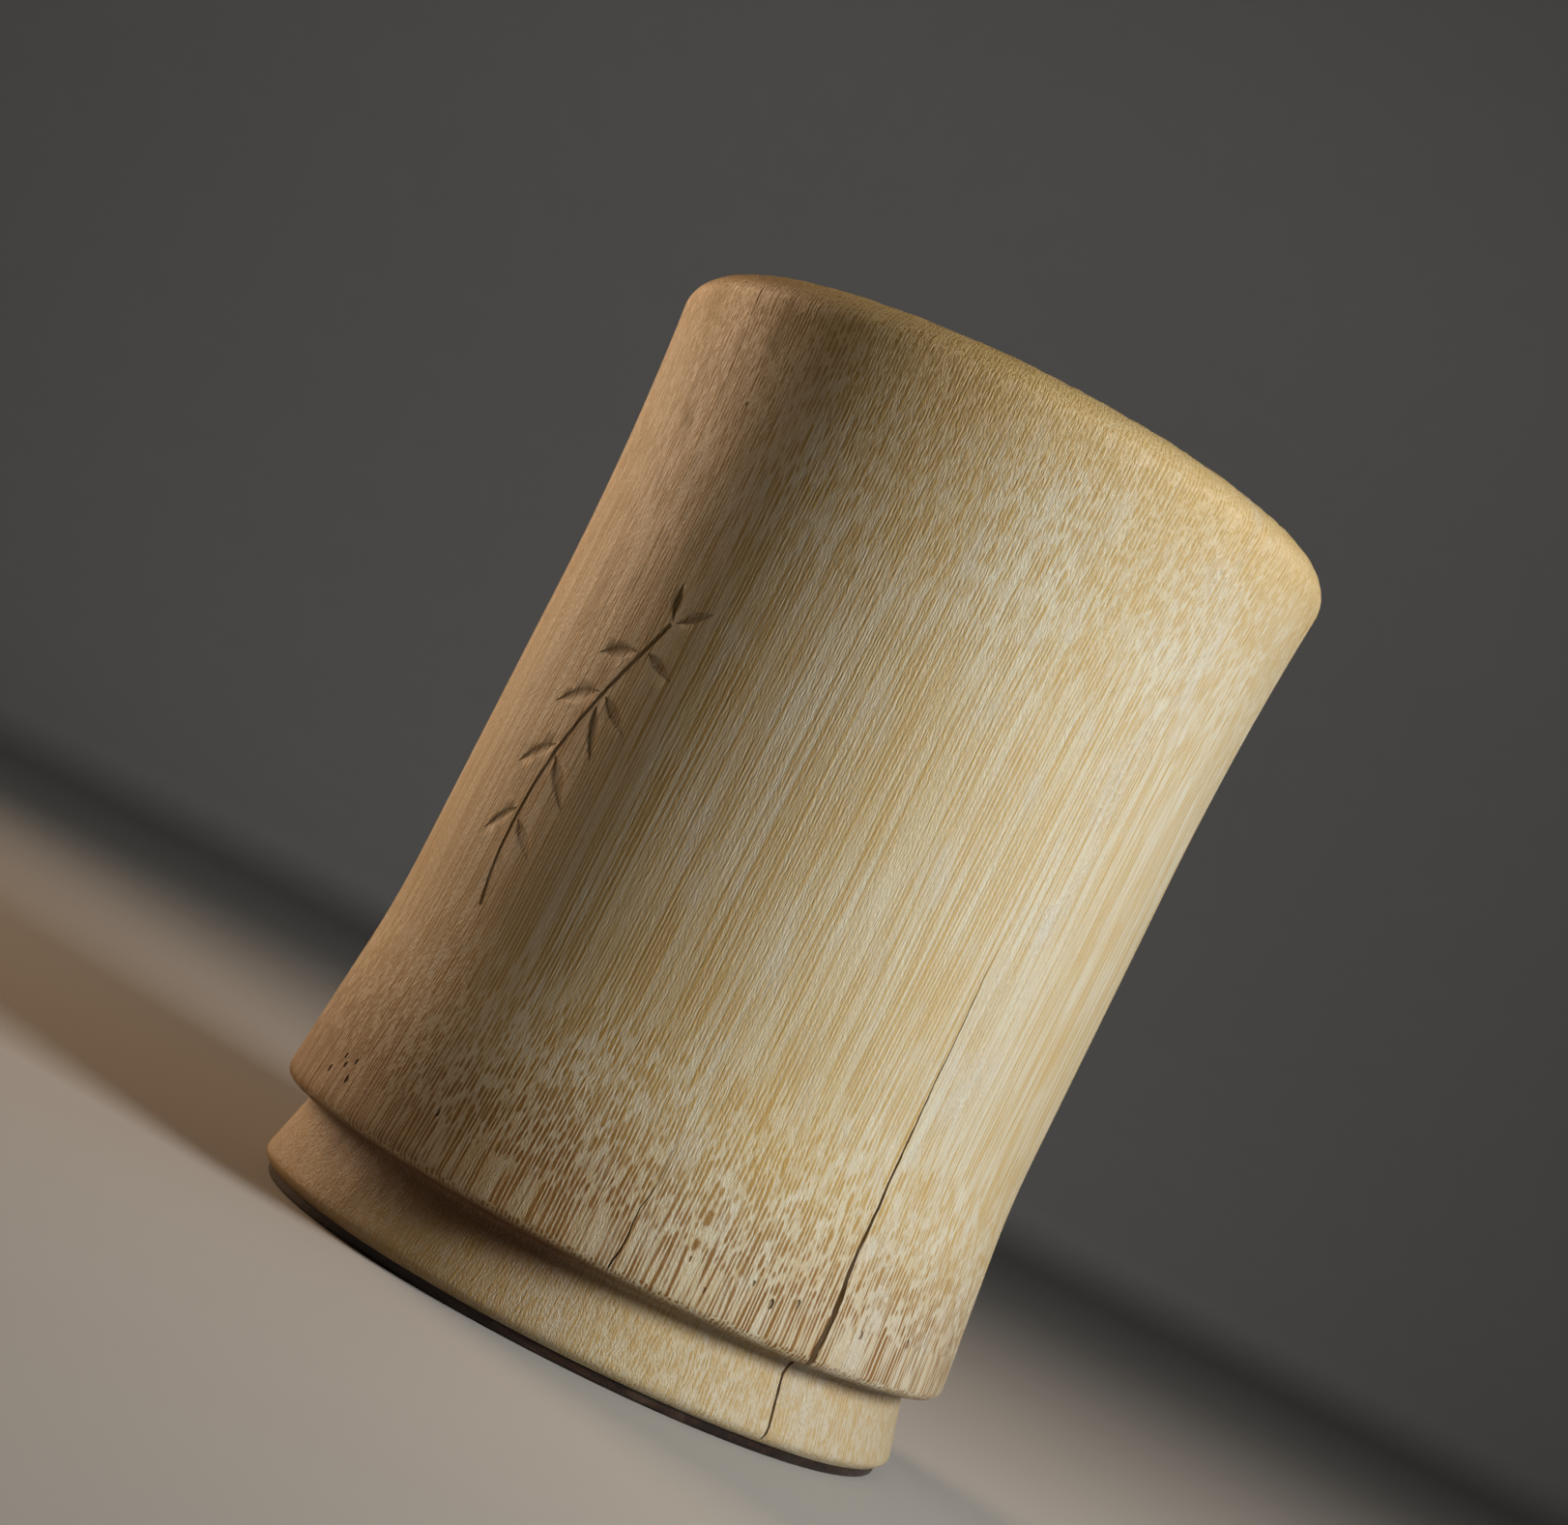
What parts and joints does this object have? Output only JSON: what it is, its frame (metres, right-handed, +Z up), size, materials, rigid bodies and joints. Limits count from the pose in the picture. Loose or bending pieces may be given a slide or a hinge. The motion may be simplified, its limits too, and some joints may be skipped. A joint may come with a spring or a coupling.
{
  "type": "brush pot",
  "caption": "Round bamboo brush holder with a waisted wall, a flared rim, a stepped foot and a dark hardwood base, open at the top for brushes standing on end.",
  "frame": {"origin": "middle of the face the pot stands on", "axes": "+Z up along the pot's axis, -Y towards the front, where the shorter drying crack is"},
  "size_m": [0.1062, 0.1062, 0.145],
  "materials": {
    "bamboo": "hand-polished bamboo, satin, amber fibres on straw",
    "dark_hardwood": "nearly black hardwood, waxed",
    "lacquer": "dark brown lacquer putty, glossy",
    "pin_bamboo": "end grain of split bamboo, matt"
  },
  "bodies": {
    "root": {"bamboo_wall": "bamboo", "base_plate": "dark_hardwood", "lacquer_bedding": "lacquer", "bamboo_pins": "pin_bamboo"}
  },
  "joints": []
}
